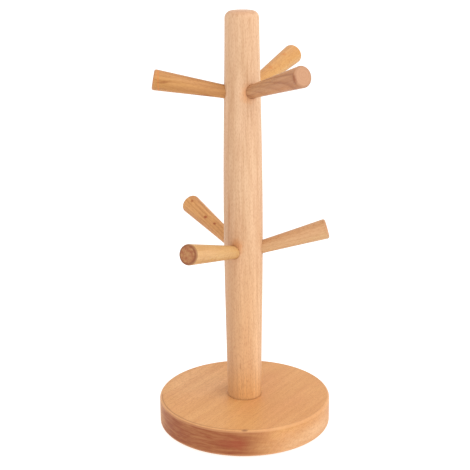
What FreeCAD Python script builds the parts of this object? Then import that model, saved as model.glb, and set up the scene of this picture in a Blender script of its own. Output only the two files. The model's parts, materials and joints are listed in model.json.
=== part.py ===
"""Mug tree: a round base, a turned post, slanting arms, a fixing screw with its washer, and foot pads.

Millimetres. +Z is up and the origin is on the surface that the pads stand on, under the post's axis.
Azimuths are measured from +X, anticlockwise from above; the side that faces -Y is the front.
"""

import FreeCAD
import Part

import math
import os
from collections import namedtuple

# Foot pads, stuck to the underside of the base
PAD_DIAMETER = 14.0
PAD_THICKNESS = 1.5
PAD_EDGE_MARGIN = 10.0  # from the edge of the base to the edge of a pad
PAD_SOFT_EDGE = 0.3

# Base
BASE_DIAMETER = 147.5
BASE_THICKNESS = 23.5
BASE_TOP_EDGE_RADIUS = 2.0
BASE_BOTTOM_EDGE_RADIUS = 2.0
FOOT_RECESS_DEPTH = 10.0
FOOT_GAP = 0.3  # between the post's foot and the wall of its recess, all round
RECESS_FLOOR_GAP = 0.1  # room for glue under the post's foot

# Post: radii of the turned outline, from the top of the base to the top of the post
POST_HEIGHT = 329.0  # what stands above the base
FOOT_RADIUS = 14.6
LOWER_RADIUS = 15.7
WAIST_RADIUS = 16.3
UPPER_RADIUS = 15.3
HEAD_RADIUS = 13.8
HEAD_EDGE_RADIUS = 6.0
FOOT_CHAMFER = 0.8

# Tiers: where the arms' lines meet the post's axis
LOWER_TIER_HEIGHT = 129.0  # above the top of the base
UPPER_TIER_DROP = 67.0  # below the top of the post

# Arms
TENON_RADIUS = 5.6
TENON_CLEARANCE = 0.05  # glue line round a tenon
TENON_END_GAP = 0.4  # between a tenon's end and the floor of its socket
TENON_CHAMFER = 0.6
ROOT_STRAIGHT = 0.5  # plain length that shows outside the post before the taper starts
SOCKET_WEB = 3.0  # wood left between two sockets of a tier
TIP_RADIUS = 8.5
TIP_EDGE_RADIUS = 1.8
SIDE_ARM_LENGTH = 73.0  # from the post's axis to the end of the arm
CORNER_ARM_LENGTH = 84.5

# Wood screw, driven up through the base into the post's foot
SCREW_SHANK_RADIUS = 2.5
SCREW_CORE_RADIUS = 1.7  # of the threaded length
SCREW_LENGTH = 45.0  # under the head
SCREW_POINT_LENGTH = 5.0
SCREW_HEAD_RADIUS = 4.8
SCREW_HEAD_HEIGHT = 3.2
SCREW_HEAD_EDGE_RADIUS = 1.2
SCREW_HOLE_CLEARANCE = 0.3  # round the plain shank
PILOT_CLEARANCE = 0.05  # round the core
PILOT_END_GAP = 2.0
DRIVE_LENGTH = 5.6  # of each slot of the cross recess, end to end
DRIVE_WIDTH = 1.3
DRIVE_DEPTH = 2.0

# Washer and the counterbore that holds it and the screw's head
WASHER_OUTER_RADIUS = 8.0
WASHER_THICKNESS = 1.2
WASHER_BORE_CLEARANCE = 0.2
WASHER_EDGE_CHAMFER = 0.2
COUNTERBORE_CLEARANCE = 0.5  # round the washer
HEAD_SETBACK = 1.6  # from the underside of the base to the screw's head

# Levels that follow from the sizes above
BASE_BOTTOM = PAD_THICKNESS
BASE_TOP = BASE_BOTTOM + BASE_THICKNESS
RECESS_FLOOR = BASE_TOP - FOOT_RECESS_DEPTH
POST_BOTTOM = RECESS_FLOOR + RECESS_FLOOR_GAP
POST_TOP = BASE_TOP + POST_HEIGHT
COUNTERBORE_FLOOR = BASE_BOTTOM + HEAD_SETBACK + SCREW_HEAD_HEIGHT + WASHER_THICKNESS
COUNTERBORE_RADIUS = WASHER_OUTER_RADIUS + COUNTERBORE_CLEARANCE
SCREW_HEAD_UNDERSIDE = COUNTERBORE_FLOOR - WASHER_THICKNESS
SCREW_TIP = SCREW_HEAD_UNDERSIDE + SCREW_LENGTH
LOWER_TIER = BASE_TOP + LOWER_TIER_HEIGHT
UPPER_TIER = POST_TOP - UPPER_TIER_DROP
SOCKET_RADIUS = TENON_RADIUS + TENON_CLEARANCE

# The arms: each one's tier, azimuth, slant above the level, and length
Arm = namedtuple("Arm", "name tier azimuth slant length")
ARMS = (
    Arm("upper_left_arm", UPPER_TIER, 183.0, 10.5, SIDE_ARM_LENGTH),
    Arm("upper_front_right_arm", UPPER_TIER, 304.0, 16.5, CORNER_ARM_LENGTH),
    Arm("upper_rear_right_arm", UPPER_TIER, 57.0, 16.5, CORNER_ARM_LENGTH),
    Arm("lower_right_arm", LOWER_TIER, 358.0, 16.5, SIDE_ARM_LENGTH),
    Arm("lower_rear_left_arm", LOWER_TIER, 126.0, 17.5, CORNER_ARM_LENGTH),
    Arm("lower_front_left_arm", LOWER_TIER, 238.0, 13.5, CORNER_ARM_LENGTH),
)

UP = FreeCAD.Vector(0, 0, 1)
CUT_MARGIN = 1.0  # how far a cutting tool runs past the face that it opens


def point(radius, height):
    """A point of an outline in the XZ plane."""
    return FreeCAD.Vector(radius, 0, height)


def line(start, end):
    return Part.LineSegment(start, end).toShape()


def arc(start, middle, end):
    return Part.Arc(start, middle, end).toShape()


def corner_arc(centre, radius, from_angle, to_angle):
    """An arc of a rounded corner about a centre in the XZ plane, between two angles in degrees."""
    angles = (from_angle, (from_angle + to_angle) / 2, to_angle)
    on_arc = []
    for angle in angles:
        across = radius * math.cos(math.radians(angle))
        along = radius * math.sin(math.radians(angle))
        on_arc.append(centre + point(across, along))
    return arc(*on_arc)


def turned(edges):
    """The solid that a closed outline in the XZ plane makes when it is turned about the Z axis."""
    face = Part.Face(Part.Wire(edges))
    return face.revolve(FreeCAD.Vector(0, 0, 0), UP, 360)


def cylinder(radius, bottom, top):
    return Part.makeCylinder(radius, top - bottom, FreeCAD.Vector(0, 0, bottom), UP)


def post_outline():
    """The turned curve of the post, from the top of the base to the start of its rounded head."""
    radii = (FOOT_RADIUS, LOWER_RADIUS, WAIST_RADIUS, UPPER_RADIUS, HEAD_RADIUS)
    last = len(radii) - 1
    head_start = POST_HEIGHT - HEAD_EDGE_RADIUS
    points = [point(r, BASE_TOP + head_start * i / last) for i, r in enumerate(radii)]
    curve = Part.BSplineCurve()
    curve.interpolate(points)
    return curve


def widest(curve):
    """The largest radius of the post's turned curve."""
    steps = 60
    first, last = curve.FirstParameter, curve.LastParameter
    return max(curve.value(first + (last - first) * i / steps).x for i in range(steps + 1))


def post_radius_at(curve, height):
    """The radius of the post's turned curve at a height."""
    low, high = curve.FirstParameter, curve.LastParameter
    for _ in range(50):
        middle = (low + high) / 2
        if curve.value(middle).z < height:
            low = middle
        else:
            high = middle
    return curve.value(low).x


def direction_of(azimuth, slant):
    """The unit vector that an arm points along."""
    turn, rise = math.radians(azimuth), math.radians(slant)
    level = math.cos(rise)
    return FreeCAD.Vector(level * math.cos(turn), level * math.sin(turn), math.sin(rise))


def arm_placement(arm):
    """Carries an arm made along +Z from the origin to its place on the post."""
    turn = FreeCAD.Rotation(UP, direction_of(arm.azimuth, arm.slant))
    return FreeCAD.Placement(FreeCAD.Vector(0, 0, arm.tier), turn)


def smallest_spread(tier):
    """The smallest angle between two neighbouring arms of a tier, in degrees."""
    azimuths = sorted(arm.azimuth % 360 for arm in ARMS if arm.tier == tier)
    following = azimuths[1:] + [azimuths[0] + 360]
    return min(after - before for before, after in zip(azimuths, following))


def socket_floor(tier):
    """How far from the post's axis a tier's sockets end, so that a web is left between neighbours."""
    half = math.radians(smallest_spread(tier) / 2)
    return (SOCKET_WEB / 2 + SOCKET_RADIUS * math.cos(half)) / math.sin(half)


def taper_start(arm):
    """How far from the post's axis an arm is clear of the post all round, so that its taper can start."""
    rise = math.radians(arm.slant)
    surface = post_radius_at(post_outline(), arm.tier)
    return surface / math.cos(rise) + TENON_RADIUS * math.tan(rise) + ROOT_STRAIGHT


def make_base():
    """The disc, with rounded rims, the recess for the post's foot, the screw's hole and the counterbore."""
    radius = BASE_DIAMETER / 2
    top_flat = radius - BASE_TOP_EDGE_RADIUS
    bottom_flat = radius - BASE_BOTTOM_EDGE_RADIUS
    top_centre = point(top_flat, BASE_TOP - BASE_TOP_EDGE_RADIUS)
    bottom_centre = point(bottom_flat, BASE_BOTTOM + BASE_BOTTOM_EDGE_RADIUS)
    disc = turned(
        [
            line(point(0, BASE_BOTTOM), point(bottom_flat, BASE_BOTTOM)),
            corner_arc(bottom_centre, BASE_BOTTOM_EDGE_RADIUS, -90, 0),
            line(
                point(radius, BASE_BOTTOM + BASE_BOTTOM_EDGE_RADIUS),
                point(radius, BASE_TOP - BASE_TOP_EDGE_RADIUS),
            ),
            corner_arc(top_centre, BASE_TOP_EDGE_RADIUS, 0, 90),
            line(point(top_flat, BASE_TOP), point(0, BASE_TOP)),
            line(point(0, BASE_TOP), point(0, BASE_BOTTOM)),
        ]
    )
    recess = cylinder(FOOT_RADIUS + FOOT_GAP, RECESS_FLOOR, BASE_TOP + CUT_MARGIN)
    hole = cylinder(SCREW_SHANK_RADIUS + SCREW_HOLE_CLEARANCE, BASE_BOTTOM, BASE_TOP)
    counterbore = cylinder(COUNTERBORE_RADIUS, BASE_BOTTOM - CUT_MARGIN, COUNTERBORE_FLOOR)
    return disc.cut([recess, hole, counterbore])


def make_post():
    """The turned post, with the sockets for the arms and the pilot hole for the screw."""
    curve = post_outline()
    head_flat = HEAD_RADIUS - HEAD_EDGE_RADIUS
    head_centre = point(head_flat, POST_TOP - HEAD_EDGE_RADIUS)
    post = turned(
        [
            line(point(0, POST_BOTTOM), point(FOOT_RADIUS - FOOT_CHAMFER, POST_BOTTOM)),
            line(
                point(FOOT_RADIUS - FOOT_CHAMFER, POST_BOTTOM),
                point(FOOT_RADIUS, POST_BOTTOM + FOOT_CHAMFER),
            ),
            line(point(FOOT_RADIUS, POST_BOTTOM + FOOT_CHAMFER), point(FOOT_RADIUS, BASE_TOP)),
            curve.toShape(),
            corner_arc(head_centre, HEAD_EDGE_RADIUS, 0, 90),
            line(point(head_flat, POST_TOP), point(0, POST_TOP)),
            line(point(0, POST_TOP), point(0, POST_BOTTOM)),
        ]
    )
    reach = 2 * widest(curve)
    tools = []
    for arm in ARMS:
        socket = cylinder(SOCKET_RADIUS, socket_floor(arm.tier), reach)
        socket.Placement = arm_placement(arm)
        tools.append(socket)
    pilot_top = SCREW_TIP + PILOT_END_GAP
    tools.append(cylinder(SCREW_CORE_RADIUS + PILOT_CLEARANCE, POST_BOTTOM - CUT_MARGIN, pilot_top))
    return post.cut(tools)


def make_arm(arm):
    """One turned arm: a plain tenon, then a taper that widens towards the rounded outer end."""
    inner = socket_floor(arm.tier) + TENON_END_GAP
    start = taper_start(arm)
    taper_end = arm.length - TIP_EDGE_RADIUS
    tip_flat = TIP_RADIUS - TIP_EDGE_RADIUS
    peg = turned(
        [
            line(point(0, inner), point(TENON_RADIUS - TENON_CHAMFER, inner)),
            line(
                point(TENON_RADIUS - TENON_CHAMFER, inner),
                point(TENON_RADIUS, inner + TENON_CHAMFER),
            ),
            line(point(TENON_RADIUS, inner + TENON_CHAMFER), point(TENON_RADIUS, start)),
            line(point(TENON_RADIUS, start), point(TIP_RADIUS, taper_end)),
            corner_arc(point(tip_flat, taper_end), TIP_EDGE_RADIUS, 0, 90),
            line(point(tip_flat, arm.length), point(0, arm.length)),
            line(point(0, arm.length), point(0, inner)),
        ]
    )
    peg.Placement = arm_placement(arm)
    return peg


def make_screw():
    """The wood screw: a domed head with a cross recess, a plain shank, a threaded core and a point."""
    head_bottom = SCREW_HEAD_UNDERSIDE - SCREW_HEAD_HEIGHT
    flat = SCREW_HEAD_RADIUS - SCREW_HEAD_EDGE_RADIUS
    edge_centre = point(flat, head_bottom + SCREW_HEAD_EDGE_RADIUS)
    core_start = POST_BOTTOM
    core_end = SCREW_TIP - SCREW_POINT_LENGTH
    screw = turned(
        [
            line(point(0, head_bottom), point(flat, head_bottom)),
            corner_arc(edge_centre, SCREW_HEAD_EDGE_RADIUS, -90, 0),
            line(
                point(SCREW_HEAD_RADIUS, head_bottom + SCREW_HEAD_EDGE_RADIUS),
                point(SCREW_HEAD_RADIUS, SCREW_HEAD_UNDERSIDE),
            ),
            line(
                point(SCREW_HEAD_RADIUS, SCREW_HEAD_UNDERSIDE),
                point(SCREW_SHANK_RADIUS, SCREW_HEAD_UNDERSIDE),
            ),
            line(
                point(SCREW_SHANK_RADIUS, SCREW_HEAD_UNDERSIDE),
                point(SCREW_SHANK_RADIUS, core_start - CUT_MARGIN),
            ),
            line(
                point(SCREW_SHANK_RADIUS, core_start - CUT_MARGIN),
                point(SCREW_CORE_RADIUS, core_start),
            ),
            line(point(SCREW_CORE_RADIUS, core_start), point(SCREW_CORE_RADIUS, core_end)),
            line(point(SCREW_CORE_RADIUS, core_end), point(0, SCREW_TIP)),
            line(point(0, SCREW_TIP), point(0, head_bottom)),
        ]
    )
    slots = []
    for turn in (0, 90):
        slot = Part.makeBox(DRIVE_LENGTH, DRIVE_WIDTH, DRIVE_DEPTH + CUT_MARGIN)
        slot.translate(FreeCAD.Vector(-DRIVE_LENGTH / 2, -DRIVE_WIDTH / 2, head_bottom - CUT_MARGIN))
        slot.rotate(FreeCAD.Vector(0, 0, 0), UP, turn)
        slots.append(slot)
    return screw.cut(slots)


def make_washer():
    """The flat washer between the screw's head and the floor of the counterbore."""
    blank = cylinder(WASHER_OUTER_RADIUS, SCREW_HEAD_UNDERSIDE, COUNTERBORE_FLOOR)
    blank = blank.makeChamfer(WASHER_EDGE_CHAMFER, blank.Edges[:1])
    bore_radius = SCREW_SHANK_RADIUS + WASHER_BORE_CLEARANCE
    bore = cylinder(bore_radius, SCREW_HEAD_UNDERSIDE - CUT_MARGIN, COUNTERBORE_FLOOR + CUT_MARGIN)
    return blank.cut(bore)


def make_pad(azimuth):
    """One round pad under the base, its lower edge softened."""
    radius = PAD_DIAMETER / 2
    flat = radius - PAD_SOFT_EDGE
    pad = turned(
        [
            line(point(0, 0), point(flat, 0)),
            corner_arc(point(flat, PAD_SOFT_EDGE), PAD_SOFT_EDGE, -90, 0),
            line(point(radius, PAD_SOFT_EDGE), point(radius, PAD_THICKNESS)),
            line(point(radius, PAD_THICKNESS), point(0, PAD_THICKNESS)),
            line(point(0, PAD_THICKNESS), point(0, 0)),
        ]
    )
    ring = BASE_DIAMETER / 2 - PAD_EDGE_MARGIN - radius
    pad.translate(direction_of(azimuth, 0) * ring)
    return pad


def make_parts():
    """Every piece of the mug tree, by name."""
    parts = {
        "base": make_base(),
        "post": make_post(),
        "post_screw": make_screw(),
        "screw_washer": make_washer(),
    }
    for arm in ARMS:
        parts[arm.name] = make_arm(arm)
    pads = ("rear_right_pad", "rear_left_pad", "front_left_pad", "front_right_pad")
    for i, name in enumerate(pads):
        parts[name] = make_pad(45 + 90 * i)
    return parts


def main():
    os.makedirs("parts", exist_ok=True)
    for name, shape in make_parts().items():
        if not shape.isValid():
            raise ValueError(name + " isn't a valid solid")
        shape.exportStep("parts/" + name + ".step")
        print(name, "solids", len(shape.Solids), "volume", round(shape.Volume, 1))


main()
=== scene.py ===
"""Turned beech mug tree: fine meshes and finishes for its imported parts.

Metres, +Z up, in the parts' own frame. Azimuths are measured from +X, anticlockwise from above, and the side
that faces -Y is the front. Every new piece is a surface worked out on a grid and welded into one closed mesh.
"""

import json
import logging
import math
from dataclasses import dataclass, field, replace
from enum import Enum
from typing import Any, Mapping, Sequence

import bpy
import numpy as np
from mathutils import Matrix, Vector


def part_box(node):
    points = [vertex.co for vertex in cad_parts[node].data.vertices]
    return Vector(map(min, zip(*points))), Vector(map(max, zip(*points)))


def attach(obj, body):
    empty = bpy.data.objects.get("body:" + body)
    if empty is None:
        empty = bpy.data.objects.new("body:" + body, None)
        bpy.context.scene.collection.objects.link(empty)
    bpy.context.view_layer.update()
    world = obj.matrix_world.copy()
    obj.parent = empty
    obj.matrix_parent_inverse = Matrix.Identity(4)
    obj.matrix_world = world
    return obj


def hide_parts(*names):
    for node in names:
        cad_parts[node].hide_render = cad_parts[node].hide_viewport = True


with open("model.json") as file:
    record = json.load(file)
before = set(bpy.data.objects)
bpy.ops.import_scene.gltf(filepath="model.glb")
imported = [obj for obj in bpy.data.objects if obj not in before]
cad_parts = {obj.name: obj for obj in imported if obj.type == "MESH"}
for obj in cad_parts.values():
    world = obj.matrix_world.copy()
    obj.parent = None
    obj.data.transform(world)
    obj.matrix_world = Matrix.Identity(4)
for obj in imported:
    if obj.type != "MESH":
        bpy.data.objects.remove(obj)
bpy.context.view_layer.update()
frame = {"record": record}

MM = 0.001
WELD = 1e-7  # corners of a mesh that lie this close are one
ARC_POINTS = 7  # along each rounded corner of an outline
LOBES = 2  # high spots round a hand-turned piece
LOBE_CLIMB = 9 * MM  # the height in which they turn by a radian
UP = Vector((0, 0, 1))
ROOT_BODY = "root"

Colour = tuple[float, float, float]
log = logging.getLogger("mug_tree")


def paint(red: float, green: float, blue: float) -> Colour:
    """Turns a colour's everyday 0 to 255 values into the linear light that shaders work in."""
    return tuple((value / 255) ** 2.2 for value in (red, green, blue))


# --- Surfaces ---


@dataclass(frozen=True)
class Corner:
    """A corner of a turned outline: how far it is from the axis, its height, and the round on it."""

    radius: float
    height: float
    rounding: float = 0.0


def rounded_outline(corners: Sequence[Corner], step: float) -> tuple[np.ndarray, np.ndarray]:
    """Samples an outline whose corners are rounded.

    A corner is an arc that touches both of its sides. The side between two arcs is sampled closer together
    towards its ends, at the shares (1 - cos(pi * k / n)) / 2 of its length.

    Args:
        corners: The outline's corners in order; the first and the last stay as they are.
        step: The mean distance between samples along a side.

    Returns:
        The samples as (radius, height), and for each how much it belongs to a rounded edge, 0 or 1.
    """
    places = np.array([(c.radius, c.height) for c in corners])
    samples, edges = [places[:1]], [np.zeros(1)]
    for before, corner, after in zip(places, corners[1:-1], places[2:]):
        place = np.array((corner.radius, corner.height))
        back, on = unit(before - place), unit(after - place)
        half = math.acos(np.clip(back @ on, -1, 1)) / 2
        centre = place + unit(back + on) * corner.rounding / math.sin(half)
        reach = corner.rounding / math.tan(half)
        start, end = place + back * reach - centre, place + on * reach - centre
        sweep = math.pi - 2 * half
        share = np.linspace(0, 1, ARC_POINTS)[:, None]
        arc = centre + (np.sin((1 - share) * sweep) * start + np.sin(share * sweep) * end) / math.sin(sweep)
        samples += [side_samples(samples[-1][-1], arc[0], step), arc]
        edges += [np.zeros(len(samples[-2])), np.ones(ARC_POINTS)]
    samples += [side_samples(samples[-1][-1], places[-1], step), places[-1:]]
    edges += [np.zeros(len(samples[-2])), np.zeros(1)]
    return np.concatenate(samples), np.concatenate(edges)


def linked(name: str, data: bpy.types.ID) -> bpy.types.Object:
    """Makes an object of its data and puts it in the scene."""
    made = bpy.data.objects.new(name, data)
    bpy.context.scene.collection.objects.link(made)
    return made


def unit(vector: np.ndarray) -> np.ndarray:
    """Scales a vector to length one."""
    return vector / np.linalg.norm(vector)


def side_samples(start: np.ndarray, end: np.ndarray, step: float) -> np.ndarray:
    """Samples between two points, closer together towards both, without the points themselves.

    Args:
        start: The point at one end.
        end: The point at the other end.
        step: The mean distance between samples.

    Returns:
        The samples, one a row.
    """
    count = max(3, round(float(np.linalg.norm(end - start)) / step))
    share = (1 - np.cos(np.pi * np.arange(1, count) / count)) / 2
    return start + share[:, None] * (end - start)


def turned(outline: np.ndarray, columns: int, swell: float = 0.0) -> np.ndarray:
    """Turns an outline about the Z axis.

    A point is (r cos a, r sin a, h), with r the outline's radius times 1 + swell * sin(LOBES * a + h over
    LOBE_CLIMB), so a hand-turned piece is very slightly out of round, in another direction at each height.

    Args:
        outline: The outline's samples, as (radius, height).
        columns: How many samples go round.
        swell: How far the piece is out of round, as a share of its radius.

    Returns:
        The grid of points, with a row for each sample of the outline.
    """
    angle = np.linspace(0, 2 * np.pi, columns, endpoint=False)[None, :]
    height = np.repeat(outline[:, 1:], columns, axis=1)
    radius = outline[:, :1] * (1 + swell * np.sin(LOBES * angle + height / LOBE_CLIMB))
    return np.stack([radius * np.cos(angle), radius * np.sin(angle), height], axis=-1)


class Shell:
    """Grids of points that are welded into one closed mesh, with values on its points."""

    def __init__(self) -> None:
        """Starts with no grid."""
        self._points: list[np.ndarray] = []
        self._faces: list[np.ndarray] = []
        self._values: dict[str, list[np.ndarray]] = {}
        self._count = 0

    def add(self, grid: np.ndarray, keep: np.ndarray | None = None, **values: np.ndarray) -> "Shell":
        """Adds a grid whose rows close on themselves; neighbours in it span a face of four corners.

        Args:
            grid: The points, as rows by columns by three.
            keep: Which of the faces are wanted, as rows less one by columns; all of them if left out.
            values: Numbers on the points, one for each row or one for each point.

        Returns:
            The shell itself, so that calls can follow each other.
        """
        rows, columns = grid.shape[:2]
        near = np.arange(rows * columns).reshape(rows, columns) + self._count
        far = np.roll(near, -1, axis=1)
        faces = np.stack([near[:-1], far[:-1], far[1:], near[1:]], axis=-1)
        self._faces.append(faces.reshape(-1, 4) if keep is None else faces[keep])
        self._points.append(grid.reshape(-1, 3))
        for name, value in values.items():
            value = value[:, None] if value.ndim == 1 else value
            spread = np.broadcast_to(value, (rows, columns)).ravel()
            self._values.setdefault(name, []).append(spread)
        self._count += rows * columns
        return self

    def place(self, turn: Matrix, shift: Vector) -> "Shell":
        """Turns every point about the origin and then shifts it; returns the shell itself."""
        self._points = [points @ np.array(turn).T + np.array(shift) for points in self._points]
        return self

    def piece(self, name: str, slot: str, *nodes: str) -> bpy.types.Object:
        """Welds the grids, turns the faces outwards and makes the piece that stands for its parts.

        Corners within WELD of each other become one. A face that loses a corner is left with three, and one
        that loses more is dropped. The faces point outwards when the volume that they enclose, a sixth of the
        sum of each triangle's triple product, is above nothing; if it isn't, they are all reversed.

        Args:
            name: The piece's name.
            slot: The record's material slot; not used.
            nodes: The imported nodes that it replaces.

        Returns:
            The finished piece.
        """
        points = np.concatenate(self._points)
        keys = np.round(points / WELD).astype(np.int64)
        _, first, place = np.unique(keys, axis=0, return_index=True, return_inverse=True)
        points, faces = points[first], place.reshape(-1)[np.concatenate(self._faces)]
        same = faces == np.roll(faces, -1, axis=1)
        lost = same.sum(axis=1)
        narrow, after = faces[lost == 1], same[lost == 1].argmax(axis=1)[:, None]
        triangles = np.take_along_axis(narrow, (after + np.arange(1, 4)) % 4, axis=1)
        quads = faces[lost == 0]
        corners = points[np.concatenate([quads[:, :3], quads[:, [0, 2, 3]], triangles])]
        volume = np.einsum("ij,ij->", corners[:, 0], np.cross(corners[:, 1], corners[:, 2]))
        if volume < 0:
            quads, triangles = quads[:, ::-1], triangles[:, ::-1]
        mesh = bpy.data.meshes.new(name)
        mesh.vertices.add(len(points))
        mesh.vertices.foreach_set("co", points.astype(np.float32).ravel())
        mesh.loops.add(quads.size + triangles.size)
        mesh.loops.foreach_set("vertex_index", np.concatenate([quads.ravel(), triangles.ravel()]))
        mesh.polygons.add(len(quads) + len(triangles))
        starts = [np.arange(len(quads)) * 4, quads.size + np.arange(len(triangles)) * 3]
        mesh.polygons.foreach_set("loop_start", np.concatenate(starts))
        mesh.polygons.foreach_set("use_smooth", np.ones(len(mesh.polygons), dtype=bool))
        mesh.update(calc_edges=True)
        for key, value in self._values.items():
            attribute = mesh.attributes.new(key, "FLOAT", "POINT")
            attribute.data.foreach_set("value", np.concatenate(value)[first].astype(np.float32))
        mesh.validate()
        made = linked(name, mesh)
        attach(made, ROOT_BODY)
        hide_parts(*nodes)
        log.info("%s: %d faces", name, len(mesh.polygons))
        return made


# --- Finishes ---


@dataclass(frozen=True)
class Wire:
    """An output of a shader node that takes part in Python expressions."""

    bench: "Bench"
    socket: bpy.types.NodeSocket

    def maths(self, operation: str, *values: Any) -> "Wire":
        """Adds a Math node of the given operation, whose inputs are numbers or wires."""
        return self.bench.node("ShaderNodeMath", {"operation": operation}, dict(enumerate(values)))

    def __add__(self, other: Any) -> "Wire":
        """Adds."""
        return self.maths("ADD", self, other)

    def __radd__(self, other: Any) -> "Wire":
        """Adds, from the right."""
        return self.maths("ADD", other, self)

    def __sub__(self, other: Any) -> "Wire":
        """Subtracts."""
        return self.maths("SUBTRACT", self, other)

    def __rsub__(self, other: Any) -> "Wire":
        """Subtracts this from a number."""
        return self.maths("SUBTRACT", other, self)

    def __mul__(self, other: Any) -> "Wire":
        """Multiplies."""
        return self.maths("MULTIPLY", self, other)

    def __rmul__(self, other: Any) -> "Wire":
        """Multiplies, from the right."""
        return self.maths("MULTIPLY", other, self)

    def __truediv__(self, other: Any) -> "Wire":
        """Divides."""
        return self.maths("DIVIDE", self, other)

    def __pow__(self, other: Any) -> "Wire":
        """Raises to a power."""
        return self.maths("POWER", self, other)

    def __abs__(self) -> "Wire":
        """Drops the sign."""
        return self.maths("ABSOLUTE", self)

    def above(self, low: float, high: float) -> "Wire":
        """Rises smoothly from 0 at low to 1 at high, or the other way where low is the larger.

        Args:
            low: Where the result is 0.
            high: Where the result is 1.

        Returns:
            The smooth step.
        """
        flip = low > high
        sockets = {"Value": self, "From Min": min(low, high), "From Max": max(low, high)}
        sockets.update({"To Min": float(flip), "To Max": float(not flip)})
        return self.bench.node("ShaderNodeMapRange", {"interpolation_type": "SMOOTHSTEP"}, sockets)


class Bench:
    """The node tree of one material, and short ways to add to it."""

    def __init__(self, name: str) -> None:
        """Starts an empty material.

        Args:
            name: The material's name.
        """
        self.material = bpy.data.materials.new(name)
        self.material.use_nodes = True
        self._tree = self.material.node_tree
        self._tree.nodes.clear()

    def node(self, kind: str, settings: Mapping[str, Any], sockets: Mapping[Any, Any], out: Any = 0) -> Wire:
        """Adds a node: first its settings, then the values or links of its sockets.

        Args:
            kind: The node's type.
            settings: The node's own settings; "stops" are a ramp's places and greys.
            sockets: Its inputs by name or number, each a value or a wire.
            out: The output to return, by name or number.

        Returns:
            That output.
        """
        made = self._tree.nodes.new(kind)
        for name, value in settings.items():
            if name == "stops":
                self._set_stops(made.color_ramp, value)
            else:
                setattr(made, name, value)
        for name, value in sockets.items():
            if isinstance(value, Wire):
                self._tree.links.new(value.socket, made.inputs[name])
            else:
                made.inputs[name].default_value = value
        return Wire(self, made.outputs[out]) if len(made.outputs) else Wire(self, made.inputs[0])

    @staticmethod
    def _set_stops(ramp: bpy.types.ColorRamp, stops: Sequence[tuple[float, float]]) -> None:
        """Gives a ramp its stops.

        Args:
            ramp: The ramp.
            stops: Each stop's place along the ramp, and its grey.
        """
        while len(ramp.elements) < len(stops):
            ramp.elements.new(1.0)
        for element, (place, grey) in zip(ramp.elements, stops):
            element.position = place
            element.color = (grey, grey, grey, 1.0)

    def object_place(self) -> Wire:
        """The point being shaded, in the object's own coordinates."""
        return self.node("ShaderNodeTexCoord", {}, {}, "Object")

    def facing(self) -> Wire:
        """The direction that the surface faces, in the object's own coordinates."""
        return self.node("ShaderNodeTexCoord", {}, {}, "Normal")

    def value_on(self, name: str) -> Wire:
        """A number that the mesh carries on its points."""
        return self.node("ShaderNodeAttribute", {"attribute_name": name}, {}, "Fac")

    def mapped(self, place: Wire, scale: Sequence[float], shift: Sequence[float] = (0, 0, 0),
               turn: Sequence[float] = (0, 0, 0)) -> Wire:
        """Scales a place along each axis, turns it by Euler angles and then shifts it."""
        sockets = {"Vector": place, "Location": shift, "Rotation": turn, "Scale": scale}
        return self.node("ShaderNodeMapping", {"vector_type": "POINT"}, sockets)

    def split(self, place: Wire) -> tuple[Wire, Wire, Wire]:
        """The three coordinates of a place."""
        first = self.node("ShaderNodeSeparateXYZ", {}, {0: place})
        sockets = first.socket.node.outputs
        return first, Wire(self, sockets[1]), Wire(self, sockets[2])

    def joined(self, *coordinates: Any) -> Wire:
        """A place made of three coordinates."""
        return self.node("ShaderNodeCombineXYZ", {}, dict(enumerate(coordinates)))

    def vector(self, operation: str, out: str, *values: Any) -> Wire:
        """Adds a Vector Math node and returns its output of the given name, "Vector" or "Value"."""
        return self.node("ShaderNodeVectorMath", {"operation": operation}, dict(enumerate(values)), out)

    def noise(self, place: Wire, detail: float = 2.0, roughness: float = 0.5) -> Wire:
        """Smooth noise from 0 to 1, with features about one unit across."""
        sockets = {"Vector": place, "Scale": 1.0, "Detail": detail, "Roughness": roughness}
        return self.node("ShaderNodeTexNoise", {"noise_dimensions": "3D"}, sockets)

    def spindles(self, place: Wire, size: float) -> Wire:
        """Scattered spots, 1 in their middles and 0 between them, at most one in each unit cell."""
        far = self.node("ShaderNodeTexVoronoi", {"feature": "F1"}, {"Vector": place, "Scale": 1.0})
        return far.above(size, size / 4)

    def mixed(self, under: Any, over: Any, share: Any) -> Wire:
        """Lays one colour over another, of which the given share shows."""
        under, over = (c if isinstance(c, Wire) else (*c, 1.0) for c in (under, over))
        return self.node("ShaderNodeMix", {"data_type": "RGBA"}, {0: share, 6: under, 7: over}, 2)

    def bumped(self, height: Wire, depth: float, strength: float) -> Wire:
        """The surface's normal over a relief of a given depth, whose height goes from 0 to 1."""
        return self.node("ShaderNodeBump", {}, {"Height": height, "Distance": depth, "Strength": strength})

    def finish(self, sockets: Mapping[str, Any]) -> bpy.types.Material:
        """Ends the tree in a Principled surface with these values or links, and returns the material."""
        surface = self.node("ShaderNodeBsdfPrincipled", {}, sockets)
        self.node("ShaderNodeOutputMaterial", {}, {"Surface": surface})
        return self.material


@dataclass(frozen=True)
class Mark:
    """A soft mark laid on a piece's colour: a pin knot, a stained patch, a broad change of tone, or a patch
    of painted light or shade.
    """

    place: tuple[float, float, float]  # its middle, in metres in the parts' frame
    reach: tuple[float, float, float]  # along each axis
    tone: Colour
    strength: float = 0.6
    ragged: float = 0.5  # how uneven its outline is


@dataclass(frozen=True)
class Noise:
    """Noise that is stretched along the grain: its features a metre, and where it starts and is full."""

    across: float
    along: float
    low: float = 0.0
    high: float = 1.0
    detail: float = 3.0
    roughness: float = 0.5


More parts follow.
